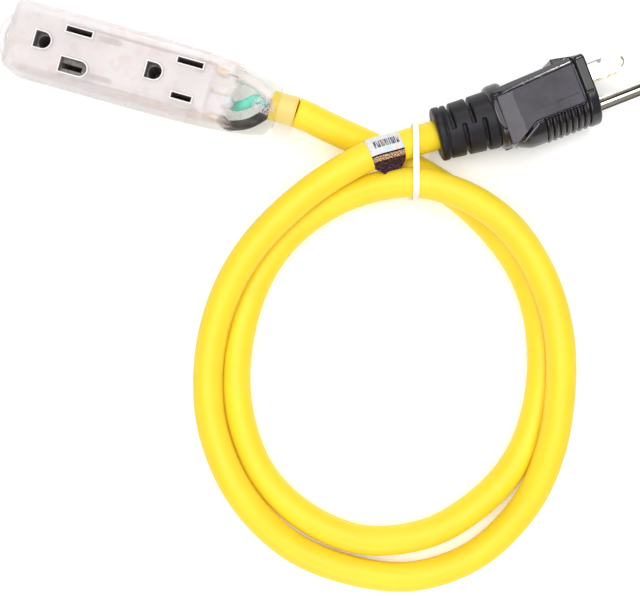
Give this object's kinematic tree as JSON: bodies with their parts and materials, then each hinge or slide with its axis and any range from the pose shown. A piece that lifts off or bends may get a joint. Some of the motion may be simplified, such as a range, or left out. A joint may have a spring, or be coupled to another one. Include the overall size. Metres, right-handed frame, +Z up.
{
  "type": "extension cord",
  "caption": "Short heavy-duty extension cord with a clear two-outlet block, a looped yellow cord tied once, and a dark moulded grounded plug.",
  "frame": {"origin": "bottom centre of the outlet block with its hang loop and cord grommet, on the surface it rests on; the cord and all that is on it are left out of that box", "axes": "+X along the outlet block towards its cord, +Z up out of the face with the outlet openings, +Y to the side with the neutral slots"},
  "size_m": [0.2405, 0.2155, 0.026],
  "materials": {
    "clear_plastic": "clear glossy soft PVC",
    "carrier": "milky satin",
    "liner": "matte dark",
    "brass": "stamped satin",
    "tinned_steel": "tinned satin",
    "lamp_glass": "clear glossy",
    "resistor": "painted satin",
    "white_insulation": "satin PVC",
    "black_insulation": "satin PVC",
    "green_insulation": "satin PVC",
    "copper_strand": "fine stranded copper",
    "yellow_jacket": "satin PVC",
    "label": "glossy printed film",
    "tie": "translucent satin",
    "plug_plastic": "satin moulded",
    "plated_brass": "polished, lightly plated"
  },
  "bodies": {
    "root": {"block_overmold": "clear_plastic", "carrier_base": "carrier", "carrier_cover": "carrier", "ground_liner_1": "liner", "ground_liner_2": "liner", "neutral_liner_1": "liner", "neutral_liner_2": "liner", "hot_liner_1": "liner", "hot_liner_2": "liner", "neutral_contact_1": "brass", "neutral_contact_2": "brass", "hot_contact_1": "brass", "hot_contact_2": "brass", "ground_contact_1": "brass", "ground_contact_2": "brass", "neutral_bus": "brass", "hot_bus": "brass", "ground_bus": "brass", "contact_rivets": "tinned_steel", "contact_tails": "brass", "pilot_lamp": "lamp_glass", "lamp_resistor": "resistor", "lamp_leads": "tinned_steel", "block_white_wire": "white_insulation", "block_black_wire": "black_insulation", "block_green_wire": "green_insulation", "block_wire_ends": "copper_strand", "block_jacket_end": "yellow_jacket", "cord_grommet": "clear_plastic", "cord_jacket": "yellow_jacket", "cord_label": "label", "tie_strap": "tie", "tie_head": "tie", "plug_relief": "plug_plastic", "plug_jacket_end": "yellow_jacket", "plug_body": "plug_plastic", "blade_bridge": "plug_plastic", "hot_blade": "plated_brass", "neutral_blade": "plated_brass", "ground_pin": "plated_brass", "plug_crimps": "brass", "plug_white_wire": "white_insulation", "plug_black_wire": "black_insulation", "plug_green_wire": "green_insulation", "plug_wire_ends": "copper_strand"}
  },
  "joints": []
}
